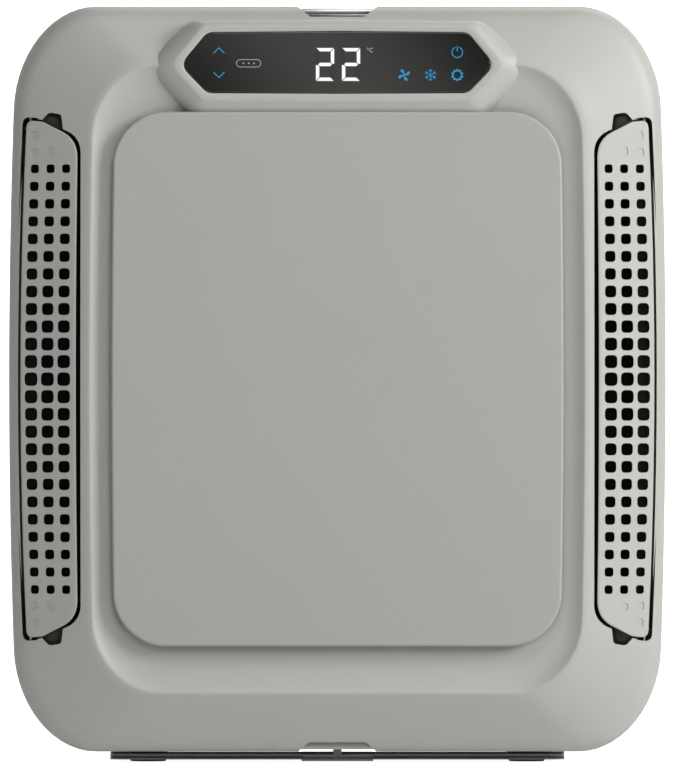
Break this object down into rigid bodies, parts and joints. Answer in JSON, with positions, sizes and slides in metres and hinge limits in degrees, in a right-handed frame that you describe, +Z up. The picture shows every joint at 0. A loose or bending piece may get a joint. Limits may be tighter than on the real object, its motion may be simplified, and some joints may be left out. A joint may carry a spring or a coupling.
{
  "type": "portable air conditioner",
  "caption": "Self-contained portable air conditioner with a floating front panel, touch display, side outlet grilles, folding handles and a rear exhaust collar.",
  "frame": {"origin": "on the floor under the middle of the machine's bounding box", "axes": "+Z up, -Y towards the user in front of the display, +X to the user's right"},
  "size_m": [0.4488, 0.292, 0.517],
  "materials": {
    "shell": "light warm grey moulded plastic, fine satin texture",
    "casing": "grey moulded plastic, fine texture",
    "panel": "warm grey satin plastic",
    "display_glass": "black glossy acrylic lens with lit symbols behind it",
    "circuit_board": "green solder mask",
    "black_plastic": "black moulded plastic",
    "black_paint": "black enamel on drawn steel",
    "grip": "silver painted plastic",
    "white_plastic": "plain white moulded plastic",
    "filter_mesh": "fine black nylon mesh",
    "fins": "stacked thin aluminium fins",
    "steel": "zinc plated steel",
    "copper": "drawn copper tube",
    "rubber": "matte black rubber"
  },
  "bodies": {
    "casing": {"front_shell": "shell", "rear_casing": "casing", "display_housing": "shell", "display_glass": "display_glass", "display_board": "circuit_board", "bail_clip": "shell", "intake_grille": "casing", "exhaust_collar": "casing", "drain_spout": "casing", "power_inlet": "black_plastic", "left_outlet_duct": "black_plastic", "right_outlet_duct": "black_plastic", "blower_housing": "black_plastic", "evaporator_fan_motor": "steel", "bulkhead": "white_plastic", "condensate_tray": "white_plastic", "condensate_hose": "rubber", "evaporator_coil": "fins", "condenser_coil": "fins", "compressor": "black_paint", "compressor_grommet_left": "rubber", "compressor_grommet_front": "rubber", "compressor_grommet_rear": "rubber", "condenser_fan_motor": "steel", "motor_bracket": "steel", "condenser_fan_shroud": "white_plastic", "base_pan": "steel", "electronics_box": "white_plastic", "suction_line": "copper", "discharge_line": "copper", "liquid_line": "copper", "capillary_tube": "copper", "filter_drier": "copper", "handle_pivot_left": "steel", "handle_pivot_right": "steel", "bail_pivot_left": "black_plastic", "bail_pivot_right": "black_plastic", "rubber_foot_front_left": "rubber", "rubber_foot_front_right": "rubber", "rubber_foot_rear_left": "rubber", "rubber_foot_rear_right": "rubber", "casing_screw_upper_left": "steel", "casing_screw_upper_right": "steel", "casing_screw_lower_left": "steel", "casing_screw_lower_right": "steel"},
    "panel": {"front_panel": "panel", "filter_frame": "white_plastic", "filter_mesh": "filter_mesh"},
    "left_grille": {"left_outlet_grille": "shell", "left_grille_pin_upper": "steel", "left_grille_pin_lower": "steel"},
    "right_grille": {"right_outlet_grille": "shell", "right_grille_pin_upper": "steel", "right_grille_pin_lower": "steel"},
    "evaporator_wheel": {"evaporator_fan": "white_plastic"},
    "condenser_wheel": {"condenser_fan": "black_plastic"},
    "handle": {"carry_handle": "grip"},
    "bail": {"stand_bail": "black_plastic"},
    "plug": {"drain_plug": "rubber"}
  },
  "joints": [
    {"name": "panel_pull", "type": "slide", "parent": "casing", "child": "panel", "axis": [0, -1, 0], "range_m": [0, 0.06]},
    {"name": "left_grille_swing", "type": "hinge", "parent": "casing", "child": "left_grille", "pos_m": [-0.2092, -0.1176, 0.2624], "axis": [0, 0, -1], "range_deg": [0, 30]},
    {"name": "right_grille_swing", "type": "hinge", "parent": "casing", "child": "right_grille", "pos_m": [0.2092, -0.1176, 0.2624], "axis": [0, 0, 1], "range_deg": [0, 30]},
    {"name": "evaporator_fan_spin", "type": "hinge", "parent": "casing", "child": "evaporator_wheel", "pos_m": [0, -0.036, 0.262], "axis": [0, 1, 0], "continuous": true},
    {"name": "condenser_fan_spin", "type": "hinge", "parent": "casing", "child": "condenser_wheel", "pos_m": [0, 0.095, 0.385], "axis": [0, 1, 0], "continuous": true},
    {"name": "carry_handle_swing", "type": "hinge", "parent": "casing", "child": "handle", "pos_m": [0, 0.055, 0.5106], "axis": [-1, 0, 0], "range_deg": [0, 90]},
    {"name": "stand_bail_swing", "type": "hinge", "parent": "casing", "child": "bail", "pos_m": [0, 0.045, 0.0043], "axis": [1, 0, 0], "range_deg": [0, 90]},
    {"name": "drain_plug_pull", "type": "slide", "parent": "casing", "child": "plug", "axis": [0, 1, 0], "range_m": [0, 0.02]}
  ]
}
